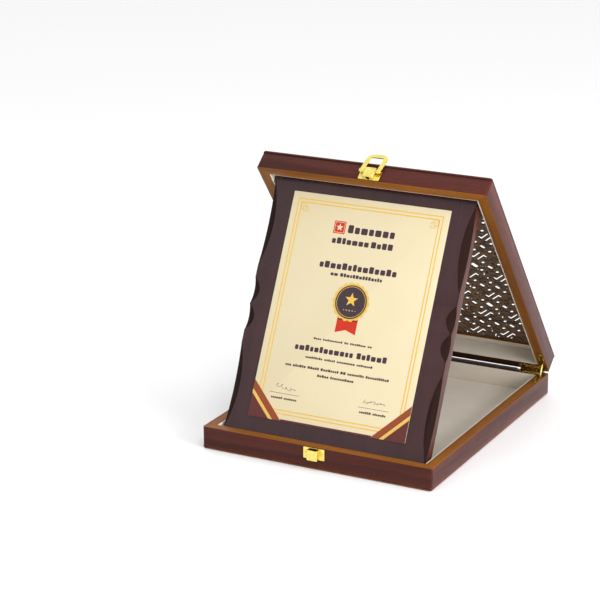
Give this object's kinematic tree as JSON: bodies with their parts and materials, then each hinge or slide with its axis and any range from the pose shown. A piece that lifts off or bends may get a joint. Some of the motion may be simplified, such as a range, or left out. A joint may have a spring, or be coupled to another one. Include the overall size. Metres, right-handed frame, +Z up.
{
  "type": "wooden award plaque in an open presentation box",
  "caption": "Hinged wooden presentation box with a pierced lid, standing open as an A-frame, with a scalloped wooden award plaque propped up inside and a bail latch.",
  "frame": {"origin": "centre of the underside of the box's base", "axes": "+Z up, -Y towards the front of the box, where the latch is, and +X to the right as seen from the front"},
  "size_m": [0.283, 0.3741, 0.3224],
  "materials": {
    "walnut": "satin dark walnut veneer",
    "lattice": "satin dark walnut, laser pierced",
    "lining": "matt cream lining",
    "brass": "polished",
    "plaque_wood": "semi-gloss dark plum-brown lacquer",
    "award_print": "satin printed sheet, ivory with gold and red",
    "medallion": "satin ivory disc"
  },
  "bodies": {
    "box_base": {"base_rail_front": "walnut", "base_rail_back": "walnut", "base_rail_left": "walnut", "base_rail_right": "walnut", "base_bottom_panel": "walnut", "base_lining_floor": "lining", "base_lining_front": "lining", "base_lining_back": "lining", "base_lining_left": "lining", "base_lining_right": "lining", "hinge_left_base_leaf": "brass", "hinge_left_pin": "brass", "hinge_left_base_screw_1": "brass", "hinge_left_base_screw_2": "brass", "hinge_right_base_leaf": "brass", "hinge_right_pin": "brass", "hinge_right_base_screw_1": "brass", "hinge_right_base_screw_2": "brass", "latch_keeper": "brass", "latch_keeper_screw_1": "brass", "latch_keeper_screw_2": "brass"},
    "lid": {"lid_rail_front": "walnut", "lid_rail_back": "walnut", "lid_rail_left": "walnut", "lid_rail_right": "walnut", "lid_lattice_panel": "lattice", "lid_medallion": "medallion", "lid_lining_border": "lining", "lid_lining_front": "lining", "lid_lining_back": "lining", "lid_lining_left": "lining", "lid_lining_right": "lining", "hinge_left_lid_leaf": "brass", "hinge_left_lid_screw_1": "brass", "hinge_left_lid_screw_2": "brass", "hinge_right_lid_leaf": "brass", "hinge_right_lid_screw_1": "brass", "hinge_right_lid_screw_2": "brass", "latch_plate": "brass", "latch_pin": "brass", "latch_plate_screw_1": "brass", "latch_plate_screw_2": "brass"},
    "plaque": {"plaque_board": "plaque_wood", "award_plate": "award_print"},
    "stay_left": {"hinge_left_stay": "brass"},
    "stay_right": {"hinge_right_stay": "brass"},
    "bail": {"latch_bail": "brass"}
  },
  "joints": [
    {"name": "plaque_tilt", "type": "hinge", "parent": "box_base", "child": "plaque", "pos_m": [0, -0.14767, 0.00906], "axis": [-1, 0, 0], "range_deg": [0, 63.7]},
    {"name": "lid_hinge", "type": "hinge", "parent": "box_base", "child": "lid", "pos_m": [0, 0.1745, 0.0265], "axis": [-1, 0, 0], "range_deg": [-51.3, 43.7]},
    {"name": "stay_left_slide", "type": "hinge", "parent": "box_base", "child": "stay_left", "pos_m": [-0.1367, 0.1745, 0.0265], "axis": [-1, 0, 0], "range_deg": [-25.65, 21.85]},
    {"name": "stay_right_slide", "type": "hinge", "parent": "box_base", "child": "stay_right", "pos_m": [0.1367, 0.1745, 0.0265], "axis": [-1, 0, 0], "range_deg": [-25.65, 21.85]},
    {"name": "bail_swing", "type": "hinge", "parent": "lid", "child": "bail", "pos_m": [0, -0.03859, 0.30848], "axis": [1, 0, 0], "range_deg": [0, 192]}
  ],
  "couplings": [
    {"joint": "lid_hinge", "follows": "plaque_tilt", "ratio": 0.686},
    {"joint": "stay_left_slide", "follows": "plaque_tilt", "ratio": 0.343},
    {"joint": "stay_right_slide", "follows": "plaque_tilt", "ratio": 0.343}
  ]
}
